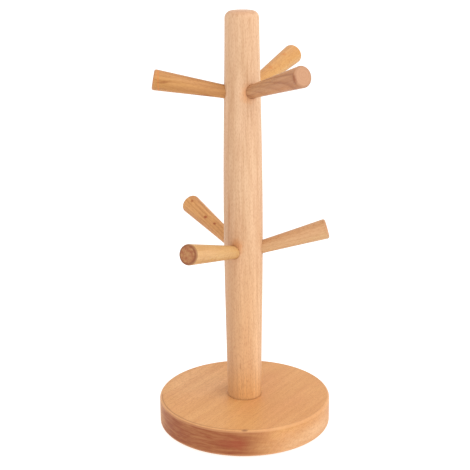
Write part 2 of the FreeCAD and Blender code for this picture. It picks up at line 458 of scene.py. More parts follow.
class Figure(Enum):
    """The layers of noise that make up the wood's figure."""

    STREAK = Noise(90, 2.4, 0.34, 0.66, roughness=0.55)
    BLOTCH = Noise(60, 14, 0.35, 0.68)
    BROAD_LINE = Noise(400, 9, 0.42, 0.72, roughness=0.6)
    THIN_LINE = Noise(950, 20, 0.5, 0.74, detail=1.0)
    FIBRE = Noise(1500, 38, 0.48, 0.76, detail=2.0, roughness=0.6)
    PORE = Noise(1900, 1900, 0.5, 0.7, detail=1.0)
    RING_WANDER = Noise(42, 5.5, detail=2.0)


class Rays(Enum):
    """The layers of rays: thickness, features a metre outwards and along the grain, size and strength."""

    FINE = (0.45 * MM, 90, 380, 0.55, 0.6)
    COARSE = (1.0 * MM, 60, 170, 0.34, 0.35)


# How dark the wood is through one year's growth: a ramp's places and greys
RING_STOPS = ((0.0, 0.5), (0.12, 0.05), (0.6, 0.2), (0.9, 1.0), (1.0, 0.5))
RING_WANDERS = 3.4 * MM  # how far a ring strays from a circle
YEARS_ALIKE = 0.35  # the share of a ring's strength that every year has
SEED_SHIFT = (3.7, 1.9, 5.3)  # how a piece's seed moves its noise
PATCH_LIMITS = (0.36, 0.7)  # where the noise of the end grain's patches starts and is full
MARK_RAGGEDNESS = 380.0  # features a metre in the outline of a mark
HIDDEN_JOINT_SHADE = 0.5  # how dark the painted shade on a surface inside a joint is, as a share of the painted shade along the joint's line


@dataclass(frozen=True)
class Beech:
    """Satin lacquered beech, a solid pattern that runs through the whole piece along its grain."""

    name: str
    pale: Colour  # the wood between the growth rings
    deep: Colour  # the rings' late wood and the broad darker streaks
    end: Colour  # end grain, which drinks more lacquer
    heart: tuple[float, float]  # the tree's heart, across the grain from the piece's middle
    seed: float
    grain: tuple[float, float, float] = (0.0, 0.0, 1.0)
    ring: float = 3.0 * MM
    lean: float = 0.03  # how far the heart leans over, per length along the grain
    rings_show: float = 0.3
    lines_show: float = 0.22
    rays_show: float = 0.46
    fibres_show: float = 0.26
    streaks_show: float = 0.36
    pores_show: float = 0.2
    end_rings_show: float = 0.35
    end_show: float = 0.5
    patch_show: float = 0.25  # how uneven the end grain is
    patch_scale: tuple[float, float, float] = (260.0, 260.0, 260.0)  # its patches a metre, along each axis
    end_from: float = 0.35  # the cosine to the grain at which end grain starts to show
    end_full: float = 0.96  # the cosine at which it shows fully
    tints_and_painted_light: tuple[Mark, ...] = ()  # broad ones that lie under the figure: changes of tone, and patches of painted light and shade
    marks: tuple[Mark, ...] = ()  # small ones that lie over it
    fleck: Colour = paint(150, 88, 48)
    blush: Colour = paint(214, 150, 122)
    blush_show: float = 0.18
    rim: Colour = paint(120, 66, 34)  # over a rounded edge: a painted highlight along the base's rim, partly wear; on the other pieces a band darker or warmer than the wood
    rim_show: float = 0.14
    joint_shade_tone: Colour = paint(112, 62, 24)  # painted shade in joints and gaps and round the sockets' mouths
    joint_shade_show: float = 0.55
    relief: float = 0.05 * MM
    relief_show: float = 0.35

    def material(self, middle: Vector) -> bpy.types.Material:
        """Builds the material for one piece.

        The colour is built up in coats: a blush and broad tints, some of them painted light and shade, the
        figure, the end grain, small marks, and what the mesh itself says about edges and joints: a band over
        rounded edges, a painted highlight on the base, and painted shade in joints, gaps and round the
        sockets.

        Args:
            middle: A point on the line that the grain pattern is measured from.

        Returns:
            The material.
        """
        bench = Bench(self.name)
        turn = Vector(self.grain).rotation_difference(UP).to_matrix()
        place = bench.mapped(bench.object_place(), (1, 1, 1), -(turn @ middle), turn.to_euler())
        rings, turnwise, outward, along = self._rings(bench, place)
        rays = self._rays(bench, turnwise, outward, along)
        layers = (Figure.STREAK, Figure.BLOTCH, Figure.BROAD_LINE, Figure.THIN_LINE, Figure.PORE)
        streaks, blotches, broad, thin, pores = (
            self._noise(bench, place, layer).above(layer.value.low, layer.value.high) for layer in layers
        )
        fibre = self._noise(bench, place, Figure.FIBRE)
        fibres = fibre.above(Figure.FIBRE.value.low, Figure.FIBRE.value.high)
        end_grain = self._end_grain(bench)
        patches = bench.noise(bench.mapped(bench.object_place(), self.patch_scale), 3.0, 0.6)
        patches = patches.above(*PATCH_LIMITS)
        end = bench.mixed(self.end, self.fleck, pores * self.pores_show + rings * self.end_rings_show)
        end = bench.mixed(end, self.pale, patches * self.patch_show)
        coats = (
            (self.blush, blotches, self.blush_show),
            # broad tints, some of them painted light and shade
            *((tint.tone, self._mark(bench, tint), tint.strength) for tint in self.tints_and_painted_light),
            (self.deep, streaks, self.streaks_show),
            (self.deep, 0.7 * broad + 0.5 * thin, self.lines_show),
            (self.deep, rings, self.rings_show),
            (self.fleck, rays, self.rays_show),
            (self.fleck, fibres, self.fibres_show),
            (end, end_grain, self.end_show),
            *((mark.tone, self._mark(bench, mark), mark.strength) for mark in self.marks),
            # over rounded edges: a painted highlight along the base's rim, partly wear
            (self.rim, bench.value_on("edge"), self.rim_show),
            # painted shade in joints, gaps and round the arms' roots, which the mesh carries
            (self.joint_shade_tone, bench.value_on("joint"), self.joint_shade_show),
        )
        body = self.pale
        for tone, cover, show in coats:
            body = bench.mixed(body, tone, cover * show)
        height = 0.5 * fibre + 0.35 * (1 - rays) + 0.15 * pores
        gloss = 0.46 + 0.12 * fibre + 0.1 * rays + 0.08 * end_grain - 0.07 * bench.value_on("edge")
        normal = bench.bumped(height, self.relief, self.relief_show)
        sockets = {"Base Color": body, "Roughness": gloss, "Normal": normal}
        sockets.update({"Specular IOR Level": 0.34, "Coat Weight": 0.05, "Coat Roughness": 0.3})
        return bench.finish(sockets)

    def _noise(self, bench: Bench, place: Wire, layer: Figure) -> Wire:
        """The noise of one layer of the figure.

        Args:
            bench: The material's bench.
            place: The point in the wood, with Z along the grain.
            layer: The layer.

        Returns:
            The noise, from 0 to 1.
        """
        kind = layer.value
        shift = [self.seed * share for share in SEED_SHIFT]
        stretched = bench.mapped(place, (kind.across, kind.across, kind.along), shift)
        return bench.noise(stretched, kind.detail, kind.roughness)

    def _rings(self, bench: Bench, place: Wire) -> tuple[Wire, Wire, Wire, Wire]:
        """Growth rings round the tree's heart.

        A ring's phase is the distance from the heart, with a slow wander, divided by the ring's width. Each
        ring darkens slowly to its late wood, and some years are darker than others.

        Args:
            bench: The material's bench.
            place: The point in the wood, with Z along the grain.

        Returns:
            How much late wood there is, the angle about the heart, the distance from it, and the height.
        """
        across, through, along = bench.split(place)
        wander = self._noise(bench, place, Figure.RING_WANDER) - 0.5
        east, north = across - self.heart[0], through - self.heart[1] + along * self.lean
        outward = ((east ** 2) + (north ** 2)) ** 0.5
        count = (outward + wander * RING_WANDERS) / self.ring
        year = bench.node("ShaderNodeTexWhiteNoise", {"noise_dimensions": "1D"},
                          {"W": count.maths("FLOOR", count) + self.seed})
        late = bench.node("ShaderNodeValToRGB", {"stops": RING_STOPS}, {"Fac": count.maths("FRACT", count)})
        turnwise = north.maths("ARCTAN2", north, east)
        return late * (YEARS_ALIKE + (1 - YEARS_ALIKE) * year), turnwise, outward, along

    def _rays(self, bench: Bench, turnwise: Wire, outward: Wire, along: Wire) -> Wire:
        """Rays: thin sheets that run out from the heart, seen as dashes where the surface cuts across them.

        Spindles are scattered in the space of angle, distance and height, long outwards, short along the
        grain and thin round the heart, in a fine layer and a coarse one.

        Args:
            bench: The material's bench.
            turnwise: The angle about the heart.
            outward: The distance from the heart.
            along: The height along the grain.

        Returns:
            How much of a ray there is.
        """
        middle = math.hypot(*self.heart)
        layers = []
        for layer in Rays:
            thickness, out, up, size, strength = layer.value
            cell = bench.joined(turnwise * (middle / thickness), outward * out, along * up + self.seed)
            layers.append(bench.spindles(cell, size) * strength)
        return layers[0] + layers[1]

    def _end_grain(self, bench: Bench) -> Wire:
        """How squarely the surface cuts across the grain: the cosine between the two, sharpened."""
        cosine = bench.vector("DOT_PRODUCT", "Value", bench.facing(), unit(np.array(self.grain)).tolist())
        return abs(cosine).above(self.end_from, self.end_full)

    def _mark(self, bench: Bench, mark: Mark) -> Wire:
        """A soft spot: 1 at the mark's middle, and 0 where the distance over its reach is 1.

        Args:
            bench: The material's bench.
            mark: The mark.

        Returns:
            How much of the mark shows.
        """
        place = bench.object_place()
        scale = [1 / reach for reach in mark.reach]
        offset = bench.mapped(place, scale, [-c * s for c, s in zip(mark.place, scale)])
        wander = bench.noise(bench.mapped(place, [MARK_RAGGEDNESS] * 3), 2.0) - 0.5
        return (bench.vector("LENGTH", "Value", offset) + wander * (2 * mark.ragged)).above(1.0, 0.2)

    def dress(self, piece: bpy.types.Object, middle: Vector) -> None:
        """Puts the finish on a piece, with the grain measured from a line through the given point."""
        piece.data.materials.append(self.material(middle))


@dataclass(frozen=True)
class ZincSteel:
    """Bright zinc plate, with soft clouds in its gloss and fine turning marks."""

    name: str = "zinc_plate"
    bright: Colour = paint(206, 208, 210)
    dull: Colour = paint(168, 172, 178)
    clouds: tuple[float, float, float] = (420.0, 420.0, 420.0)  # features a metre, along each axis
    turning: tuple[float, float, float] = (900.0, 900.0, 9000.0)

    def dress(self, piece: bpy.types.Object) -> None:
        """Puts the finish on a piece.

        Args:
            piece: The piece.
        """
        bench = Bench(self.name)
        place = bench.object_place()
        cloud = bench.noise(bench.mapped(place, self.clouds), 3.0).above(0.35, 0.7)
        scratch = bench.noise(bench.mapped(place, self.turning), 2.0)
        colour = bench.mixed(self.bright, self.dull, cloud)
        gloss = 0.24 + 0.16 * cloud + 0.08 * scratch
        normal = bench.bumped(scratch, 0.02 * MM, 0.3)
        piece.data.materials.append(
            bench.finish({"Base Color": colour, "Metallic": 1.0, "Roughness": gloss, "Normal": normal})
        )


@dataclass(frozen=True)
class PadRubber:
    """Matt dark rubber with a fine closed-cell grain."""

    name: str = "pad_rubber"
    body: Colour = paint(92, 88, 84)
    worn: Colour = paint(118, 113, 107)
    grain: tuple[float, float, float] = (2600.0, 2600.0, 2600.0)  # cells a metre, along each axis
    scuffs: tuple[float, float, float] = (300.0, 500.0, 300.0)

    def dress(self, piece: bpy.types.Object) -> None:
        """Puts the finish on a piece.

        Args:
            piece: The piece.
        """
        bench = Bench(self.name)
        place = bench.object_place()
        cells = bench.noise(bench.mapped(place, self.grain), 2.0)
        scuff = bench.noise(bench.mapped(place, self.scuffs), 3.0).above(0.5, 0.75)
        colour = bench.mixed(self.body, self.worn, 0.5 * scuff + 0.3 * bench.value_on("edge"))
        normal = bench.bumped(cells, 0.08 * MM, 0.6)
        piece.data.materials.append(
            bench.finish({"Base Color": colour, "Roughness": 0.82 + 0.12 * cells, "Normal": normal})
        )


# --- Pieces ---


@dataclass
class Base:
    """The round base, bored for the post's foot from above and for the screw's head from below."""

    finish: Beech
    columns: int = 240
    step: float = 1.2 * MM
    rim: float = 2.0 * MM
    ease: float = 0.12 * MM  # on the edges of the bored holes
    recess_radius: float = 14.74 * MM
    recess_depth: float = 10.0 * MM
    counterbore_radius: float = 8.5 * MM
    hole_radius: float = 2.8 * MM
    rim_shade_azimuth: float = -140.0  # where the painted shade line along the top's edge, at the start of its round, is strongest
    rim_shade_width: float = 55.0  # degrees to either side
    rim_shade_full: float = 1.3  # above one, so that the line stays at its strongest for a stretch
    rim_shade_least: float = 0.2
    rim_shade_strength: float = 1.3
    rim_shade_reach: float = 0.4 * MM
    gap_shade_azimuth: float = -75.0  # where the painted shade in the gap round the post's foot is strongest, towards the front
    gap_shade_width: float = 55.0
    gap_shade_full: float = 1.4
    gap_shade_least: float = 0.1
    gap_shade_strength: float = 1.6
    gap_shade_reach: float = 0.5 * MM

    def make(self) -> bpy.types.Object:
        """Builds and dresses the base.

        The outline runs up the screw's hole, out over the recess's floor, up its wall, over the top, down the
        side, in under the bottom and up the counterbore, and closes where it began. The two painted shade
        lines, one where the top meets its rounded edge and one in the gap round the post's foot, fall off
        with the distance d as exp(-d / reach), and weaken away from their own azimuths.

        Returns:
            The piece.
        """
        low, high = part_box("base")
        washer_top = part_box("screw_washer")[1].z
        recess_floor = high.z - self.recess_depth
        radius = high.x
        start = Corner(self.hole_radius, (washer_top + recess_floor) / 2)
        corners = (
            start,
            Corner(self.hole_radius, recess_floor, self.ease),
            Corner(self.recess_radius, recess_floor, self.ease),
            Corner(self.recess_radius, high.z, self.ease),
            Corner(radius, high.z, self.rim),
            Corner(radius, low.z, self.rim),
            Corner(self.counterbore_radius, low.z, self.ease),
            Corner(self.counterbore_radius, washer_top, self.ease),
            Corner(self.hole_radius, washer_top, self.ease),
            start,
        )
        outline, edge = rounded_outline(corners, self.step)
        grid = turned(outline, self.columns)
        bearing = np.degrees(np.arctan2(grid[0, :, 1], grid[0, :, 0]))
        # painted shade line where the top meets its rounded edge, strongest on the shaded front left
        from_round = np.abs(outline[:, 0] - radius + self.rim) + np.abs(outline[:, 1] - high.z)
        rim_shade_share = self.rim_shade_full - np.abs(bearing - self.rim_shade_azimuth) / self.rim_shade_width
        rim_shade_share = self.rim_shade_least + (1 - self.rim_shade_least) * np.clip(rim_shade_share, 0, 1)
        rim_shade = self.rim_shade_strength * np.exp(-from_round / self.rim_shade_reach)[:, None] * rim_shade_share
        # painted shade in the gap round the post's foot
        from_joint = np.abs(outline[:, 0] - self.recess_radius) + np.abs(outline[:, 1] - high.z)
        gap_shade_share = self.gap_shade_full - np.abs(bearing - self.gap_shade_azimuth) / self.gap_shade_width
        gap_shade_share = np.clip(gap_shade_share, self.gap_shade_least, 1)
        gap_shade = self.gap_shade_strength * np.exp(-from_joint / self.gap_shade_reach)[:, None] * gap_shade_share
        piece = Shell().add(grid, edge=edge, joint=gap_shade + rim_shade).piece("turned_base", "base_wood", "base")
        self.finish.dress(piece, Vector((0, 0, (low.z + high.z) / 2)))
        return piece


@dataclass(frozen=True)
class Peg:
    """Where an arm sits: its name, its line, and how long it is from the post's axis to its end."""

    name: str
    start: Vector
    direction: Vector
    length: float

    @classmethod
    def from_record(cls, name: str, length: float) -> "Peg":
        """Finds an arm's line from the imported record's mount on it.

        Args:
            name: The arm's node.
            length: The arm's length from the post's axis.

        Returns:
            The arm's place.
        """
        mount_name = name.replace("_arm", "_peg")
        mount = next(m for m in frame["record"]["mounts"] if m["name"] == mount_name)
        direction = Vector(mount["axis"]).normalized()
        on_line = Vector(mount["pos_m"])
        back = on_line.xy.length / direction.xy.length
        return cls(name, on_line - direction * back, direction, length)


@dataclass
class Post:
    """The barrel-shaped post, with a blind socket for each arm and a pilot hole for the screw."""

    finish: Beech
    pegs: Sequence[Peg]
    columns: int = 192
    rows: int = 288
    step: float = 1.2 * MM
    radii: tuple[float, ...] = (14.6 * MM, 15.7 * MM, 16.3 * MM, 15.3 * MM, 13.8 * MM)
    head_round: float = 6.0 * MM
    head_dome: float = 0.15 * MM  # how far the top stands proud in its middle
    head_wear: float = 0.6
    top_wear: float = 0.3
    foot_chamfer: float = 0.8 * MM
    ease: float = 0.2 * MM  # on the foot's edges and the pilot hole's
    joint_shade_reach: float = 0.4 * MM
    pilot_radius: float = 1.75 * MM
    pilot_depth: float = 37.0 * MM
    socket_radius: float = 5.65 * MM
    socket_floor: float = 5.4 * MM  # from the post's axis
    socket_ease: float = 0.2 * MM
    socket_wear: float = 0.8
    socket_shade_reach: float = 1.0 * MM  # of the painted contact shade round a socket's mouth
    # how dark the painted contact shade round a socket's mouth is
    socket_shade: float = 0.5
    lip_rows: int = 6
    window_rows: int = 9  # half the height of the window round a socket, in rows
    window_columns: int = 16  # half its width, in columns
    draw_in: tuple[float, ...] = (0, 0.14, 0.3, 0.46, 0.6, 0.72, 0.82, 0.9, 0.96, 1.0)  # from window to mouth
    sink: tuple[float, ...] = (0.15, 0.5, 0.95, 1.0)  # from mouth to floor

    def __post_init__(self) -> None:
        """Fits the turned curve: the polynomial through the radii, evenly spaced up to the head's round."""
        self.bottom, self.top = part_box("post")[0].z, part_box("post")[1].z
        self.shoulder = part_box("base")[1].z
        self.neck = self.top - self.head_round
        shares = np.linspace(0, 1, len(self.radii))
        self._curve = np.polyfit(shares, np.array(self.radii), len(self.radii) - 1)

    def radius_at(self, height: np.ndarray) -> np.ndarray:
        """The post's radius at each height between the base and the head."""
        return np.polyval(self._curve, (height - self.shoulder) / (self.neck - self.shoulder))

    def skin(self, angle: np.ndarray, height: np.ndarray) -> np.ndarray:
        """Points of the turned surface: (r cos a, r sin a, h), with r the radius at the height h."""
        radius = self.radius_at(height)
        return np.stack([radius * np.cos(angle), radius * np.sin(angle), height], axis=-1)

    def make(self) -> bpy.types.Object:
        """Builds and dresses the post.

        The outline runs from the pilot hole's end down to the foot, out and up the turned side, and over the
        head. A window is left open in the side round each socket, and a patch closes it.

        Returns:
            The piece.
        """
        foot = self.radii[0]
        below, below_edge = rounded_outline(
            (
                Corner(0, self.bottom + self.pilot_depth),
                Corner(self.pilot_radius, self.bottom + self.pilot_depth, self.ease),
                Corner(self.pilot_radius, self.bottom, self.ease),
                Corner(foot - self.foot_chamfer, self.bottom, self.ease),
                Corner(foot, self.bottom + self.foot_chamfer, self.ease),
                Corner(foot, self.shoulder),
            ),
            self.step,
        )
        heights = np.linspace(self.shoulder, self.neck, self.rows + 1)
        side = np.stack([self.radius_at(heights), heights], axis=-1)
        head, head_edge = self._head(side[-1, 0])
        outline = np.concatenate([below[:-1], side, head])
        edge = np.concatenate([below_edge[:-1], np.zeros(len(side)), head_edge])
        # painted shade where the post meets the base, half as dark on the foot that is hidden in the base
        joint = np.exp(-np.abs(outline[:, 1] - self.shoulder) / self.joint_shade_reach)
        joint[: len(below)] *= HIDDEN_JOINT_SHADE
        first = len(below) - 1
        keep = np.ones((len(outline) - 1, self.columns), dtype=bool)
        shell = Shell()
        for peg in self.pegs:
            self._add_socket(shell, peg, heights, keep[first : first + self.rows])
        shell.add(turned(outline, self.columns), keep, edge=edge, joint=joint)
        piece = shell.piece("turned_post", "post_wood", "post")
        self.finish.dress(piece, Vector((0, 0, self.shoulder)))
        return piece

    def _head(self, radius: float) -> tuple[np.ndarray, np.ndarray]:
        """The head's outline: a quarter round that starts in line with the side, then the slightly domed top.

        Args:
            radius: The post's radius where the head starts.

        Returns:
            The outline's samples, and for each how much it belongs to a rounded edge.
        """
        turn = np.linspace(0, np.pi / 2, 15)[1:, None]
        flat = radius - self.head_round
        quarter = np.concatenate([flat + self.head_round * np.cos(turn), np.sin(turn)], axis=1)
        quarter[:, 1] = self.neck + (self.head_round - self.head_dome) * quarter[:, 1]
        share = np.linspace(1, 0, 8)[1:, None]
        dome = np.concatenate([flat * share, self.top - self.head_dome * share**2], axis=1)
        edge = np.concatenate([self.head_wear * np.sin(turn[:, 0]) ** 2, self.top_wear * share[:, 0]])
        return np.concatenate([quarter, dome]), edge

    def _add_socket(self, shell: Shell, peg: Peg, heights: np.ndarray, keep: np.ndarray) -> None:
        """Opens the window for one socket and adds the patch that closes it.

        The patch starts on the window's border, draws in to the socket's mouth over the turned surface, rolls
        over the mouth's rounded lip, and runs down the bored wall to the floor's middle. The painted contact
        shade round the mouth is 1.1 * exp(-distance / its reach) - 0.1 of its strength, and nothing at the
        window's border; the walls inside are fully shaded.

        Args:
            shell: The post's shell.
            peg: The arm that the socket holds.
            heights: The heights of the side's rows.
            keep: The side's faces, of which the window's are struck out.
        """
        azimuth = math.atan2(peg.direction.y, peg.direction.x)
        pitch = 2 * math.pi / self.columns
        mouth = peg.start + peg.direction * self.radii[2] / peg.direction.xy.length
        middle_column = round(azimuth / pitch)
        middle_row = int(np.abs(heights - mouth.z).argmin())
        right, up = self.window_columns, self.window_rows
        columns = np.arange(middle_column - right, middle_column + right) % self.columns
        keep[middle_row - up : middle_row + up, columns] = False
        across, upward = np.arange(-right, right), np.arange(-up, up)
        column = np.concatenate([across, np.full(2 * up, right), -across, np.full(2 * up, -right)])
        row = np.concatenate([np.full(2 * right, -up), upward, np.full(2 * right, up), -upward])
        border = np.stack([(column + middle_column) * pitch, heights[row + middle_row]], axis=-1)
        bearing = np.arctan2(border[:, 1] - mouth.z, (border[:, 0] - azimuth) * self.radii[2])
        lip = self.socket_radius + self.socket_ease
        ring = self._on_side(peg, lip, bearing)[0]
        ring_angle = azimuth + wrapped(np.arctan2(ring[:, 1], ring[:, 0]) - azimuth)
        target = np.stack([ring_angle, ring[:, 2]], axis=-1)
        share = np.array(self.draw_in)[:, None, None]
        spread = border * (1 - share) + target * share
        patches = [self.skin(spread[..., 0], spread[..., 1])]
        direction = np.array(peg.direction)
        for roll in np.linspace(0, np.pi / 2, self.lip_rows)[1:]:
            on_side = self._on_side(peg, lip - self.socket_ease * math.sin(roll), bearing)[0]
            patches.append((on_side - direction * self.socket_ease * (1 - math.cos(roll)))[None])
        wall, reach = self._on_side(peg, self.socket_radius, bearing)
        deepest = reach - self.socket_floor
        sunk = self.socket_ease + (deepest - self.socket_ease) * np.array(self.sink)[:, None]
        patches.append(wall - direction * sunk[..., None])
        middle = np.array(peg.start) + direction * self.socket_floor
        patches.append(middle + (patches[-1][-1:] - middle) * np.array([0.5, 0.0])[:, None, None])
        grid = np.concatenate(patches)
        mouth_row = len(share) - 1
        rows_in = np.arange(len(grid)) - mouth_row
        edge = np.where((rows_in >= 0) & (rows_in < self.lip_rows), self.socket_wear, 0.0)
        away = np.linalg.norm(grid - grid[mouth_row], axis=-1)
        # painted contact shade round the socket's mouth, and full painted shade on the walls inside
        near = np.clip(1.1 * np.exp(-away / self.socket_shade_reach) - 0.1, 0, 1) * self.socket_shade
        shell.add(grid, edge=edge, joint=np.where(rows_in[:, None] > 0, 1.0, near))

    def _on_side(self, peg: Peg, radius: float, bearing: np.ndarray) -> tuple[np.ndarray, np.ndarray]:
        """Where lines beside an arm's axis, parallel to it, leave the post.

        A line starts at radius * (cos b * level + sin b * upright) from the axis. How far along it the side
        lies solves a quadratic in the level plane; the side's radius is taken at the height found before.

        Args:
            peg: The arm.
            radius: How far the lines are from the axis.
            bearing: Each line's bearing b about the axis.

        Returns:
            The points, and how far along the axis each is.
        """
        direction = np.array(peg.direction)
        level = unit(np.cross((0, 0, 1), direction))
        upright = np.cross(direction, level)
        offset = radius * (np.cos(bearing)[:, None] * level + np.sin(bearing)[:, None] * upright)
        square = direction[:2] @ direction[:2]
        half = offset[:, :2] @ direction[:2]
        reach = np.full(len(bearing), self.radii[2])
        for _ in range(8):
            height = peg.start.z + offset[:, 2] + reach * direction[2]
            short = (offset[:, :2] ** 2).sum(axis=1) - self.radius_at(height) ** 2
            reach = (-half + np.sqrt(half**2 - square * short)) / square
        return np.array(peg.start) + offset + reach[:, None] * direction, reach


def wrapped(angle: np.ndarray) -> np.ndarray:
    """Brings angles to between minus and plus half a turn."""
    return (angle + np.pi) % (2 * np.pi) - np.pi


@dataclass
class Arm:
    """A tapered arm: a plain tenon in the post, and a taper that widens to a softly rounded end."""

    peg: Peg
    finish: Beech
    root: float  # how far from the post's axis the taper starts
    columns: int = 96
    step: float = 1.0 * MM
    tenon_radius: float = 5.6 * MM
    tip_radius: float = 8.5 * MM
    tip_round: float = 1.8 * MM
    root_round: float = 2.0 * MM
    tenon_chamfer: float = 0.6 * MM
    tenon_ease: float = 0.15 * MM
    inner: float = 5.8 * MM
    dome: float = 0.12 * MM  # how far the end stands proud in its middle
    swell: float = 0.0035

    def make(self) -> bpy.types.Object:
        """Builds and dresses the arm.

        Returns:
            The piece.
        """
        length, tenon = self.peg.length, self.tenon_radius
        corners = (
            Corner(0, self.inner),
            Corner(tenon - self.tenon_chamfer, self.inner, self.tenon_ease),
            Corner(tenon, self.inner + self.tenon_chamfer, self.tenon_ease),
            Corner(tenon, self.root, self.root_round),
            Corner(self.tip_radius, length - self.dome, self.tip_round),
            Corner(0, length),
        )
        outline, edge = rounded_outline(corners, self.step)
        edge = np.where(outline[:, 1] > length / 2, edge, 0)  # the end's, not the tenon's
        # painted shade on the part of the tenon that is hidden in the post
        joint = np.where(outline[:, 1] < length / 8, HIDDEN_JOINT_SHADE, 0)
        turn = UP.rotation_difference(self.peg.direction).to_matrix()
        grid = turned(outline, self.columns, self.swell)
        shell = Shell().add(grid, edge=edge, joint=joint).place(turn, self.peg.start)
        piece = shell.piece("turned_" + self.peg.name, "arm_wood", self.peg.name)
        self.finish.dress(piece, self.peg.start)
        return piece


@dataclass
class Fixing:
    """The wood screw with its washer, driven up into the post's foot."""

    finish: ZincSteel = field(default_factory=ZincSteel)
    columns: int = 72
    shank: float = 2.5 * MM
    core: float = 1.7 * MM
    crest: float = 2.45 * MM
    pitch: float = 2.2 * MM
    head: float = 4.8 * MM
    head_round: float = 1.2 * MM
    point: float = 5.0 * MM
    smooth: float = 11.5 * MM  # plain length under the head
    slot_length: float = 5.6 * MM
    slot_width: float = 1.3 * MM
    slot_depth: float = 2.0 * MM
    slot_soft: float = 0.22 * MM  # how gently the cross recess's edges start
    head_ease: float = 0.15 * MM
    neck_ease: float = 0.1 * MM
    step: float = 0.5 * MM
    face_rows: int = 40
    thread_rows: int = 240
    thread_lead: float = 1.5 * MM  # where the shank thins to the thread's core
    washer_play: float = 0.2 * MM
    washer_round: float = 0.2 * MM
    washer_step: float = 0.4 * MM

    def make(self) -> None:
        """Builds and dresses the screw and its washer."""
        self._make_screw()
        self._make_washer()

    def _make_screw(self) -> None:
        """Builds the screw.

        The side is a turned outline whose radius, over the threaded length, is the core's plus a ridge: the
        ridge stands highest where height / pitch - angle / a full turn is a whole number, falls off as the
        fourth power of a cosine, and fades out at both ends. The head's face is pressed in by the cross
        recess: its depth, times the larger of two soft-edged bars.
        """
        low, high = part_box("post_screw")
        under_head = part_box("screw_washer")[0].z
        face = self._face(low.z)
        bend = np.linspace(-np.pi / 2, 0, ARC_POINTS)[1:, None]
        lip = self.head - self.head_round
        corner = np.concatenate([lip + self.head_round * np.cos(bend), np.sin(bend)], axis=1)
        corner[:, 1] = low.z + self.head_round * (1 + corner[:, 1])
        side, _ = rounded_outline(
            (
                Corner(self.head, low.z + self.head_round),
                Corner(self.head, under_head, self.head_ease),
                Corner(self.shank, under_head, self.neck_ease),
                Corner(self.shank, under_head + self.smooth),
            ),
            self.step,
        )
        thread_start, tip = under_head + self.smooth, high.z
        heights = np.linspace(thread_start, tip, self.thread_rows)[1:]
        taper = np.clip((tip - heights) / self.point, 0, 1)
        blend = np.clip((heights - thread_start) / self.thread_lead, 0, 1)
        core = (self.shank + (self.core - self.shank) * blend) * taper
        rows = np.concatenate([corner, side[1:], np.stack([core, heights], axis=-1)])
        grid = turned(rows, self.columns)
        angle = np.linspace(0, 2 * np.pi, self.columns, endpoint=False)[None, :]
        phase = np.pi * (grid[..., 2] / self.pitch - angle / (2 * np.pi))
        along = grid[..., 2]
        fade = np.clip((along - thread_start - self.pitch) / self.pitch, 0, 1)
        fade = fade * np.clip((tip - along) / self.point, 0, 1)
        ridge = (self.crest - self.core) * np.cos(phase) ** 4 * fade
        grid[..., 0] += ridge * np.cos(angle)
        grid[..., 1] += ridge * np.sin(angle)
        whole = np.concatenate([face, grid])
        piece = Shell().add(whole, edge=np.zeros(len(whole))).piece("wood_screw", "zinc_steel", "post_screw")
        self.finish.dress(piece)

    def _face(self, level: float) -> np.ndarray:
        """The head's face, from its middle to where its rounded edge starts, with the cross pressed in.

        Args:
            level: The height of the face.

        Returns:
            The grid of points.
        """
        radius = np.linspace(0, self.head - self.head_round, self.face_rows)
        grid = turned(np.stack([radius, np.full(self.face_rows, level)], axis=-1), self.columns)
        across, through = np.abs(grid[..., 0]), np.abs(grid[..., 1])
        bars = [
            np.clip((self.slot_length / 2 - lengthwise) / self.slot_soft, 0, 1)
            * np.clip((self.slot_width / 2 - sideways) / self.slot_soft, 0, 1)
            for lengthwise, sideways in ((across, through), (through, across))
        ]
        grid[..., 2] += self.slot_depth * np.maximum(*bars)
        return grid

    def _make_washer(self) -> None:
        """Builds the washer: a ring whose four edges are rounded."""
        low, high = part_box("screw_washer")
        inner, outer, round_off = self.shank + self.washer_play, high.x, self.washer_round
        middle = Corner(inner, (low.z + high.z) / 2)
        corners = (
            middle,
            Corner(inner, high.z, round_off),
            Corner(outer, high.z, round_off),
            Corner(outer, low.z, round_off),
            Corner(inner, low.z, round_off),
            middle,
        )
        outline, edge = rounded_outline(corners, self.washer_step)
        shell = Shell().add(turned(outline, self.columns), edge=edge)
        self.finish.dress(shell.piece("flat_washer", "zinc_steel", "screw_washer"))


@dataclass
class Pads:
    """The foot pads under the base, slightly bulged where they carry its weight."""

    finish: PadRubber = field(default_factory=PadRubber)
    names: tuple[str, ...] = ("rear_right_pad", "rear_left_pad", "front_left_pad", "front_right_pad")
    columns: int = 72
    soft_edge: float = 0.3 * MM
    glued_edge: float = 0.1 * MM
    bulge: float = 0.12 * MM
    step: float = 0.35 * MM

    def make(self) -> None:
        """Builds and dresses the pads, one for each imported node.

        The wall's radius is the pad's, less the bulge, plus the bulge times sin(pi * share of the height).
        """
        for name in self.names:
            low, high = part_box(name)
            radius = (high.x - low.x) / 2
            corners = (
                Corner(0, low.z),
                Corner(radius - self.bulge, low.z, self.soft_edge),
                Corner(radius - self.bulge, high.z, self.glued_edge),
                Corner(0, high.z),
            )
            outline, edge = rounded_outline(corners, self.step)
            share = (outline[:, 1] - low.z) / (high.z - low.z)
            outline[:, 0] += self.bulge * np.sin(np.pi * share) * (outline[:, 0] > radius / 2)
            middle = Vector(((low.x + high.x) / 2, (low.y + high.y) / 2, 0))
            shell = Shell().add(turned(outline, self.columns), edge=edge)
            piece = shell.place(Matrix.Identity(3), middle).piece("soft_" + name, "pad_rubber", name)
            self.finish.dress(piece)


# --- Studio ---


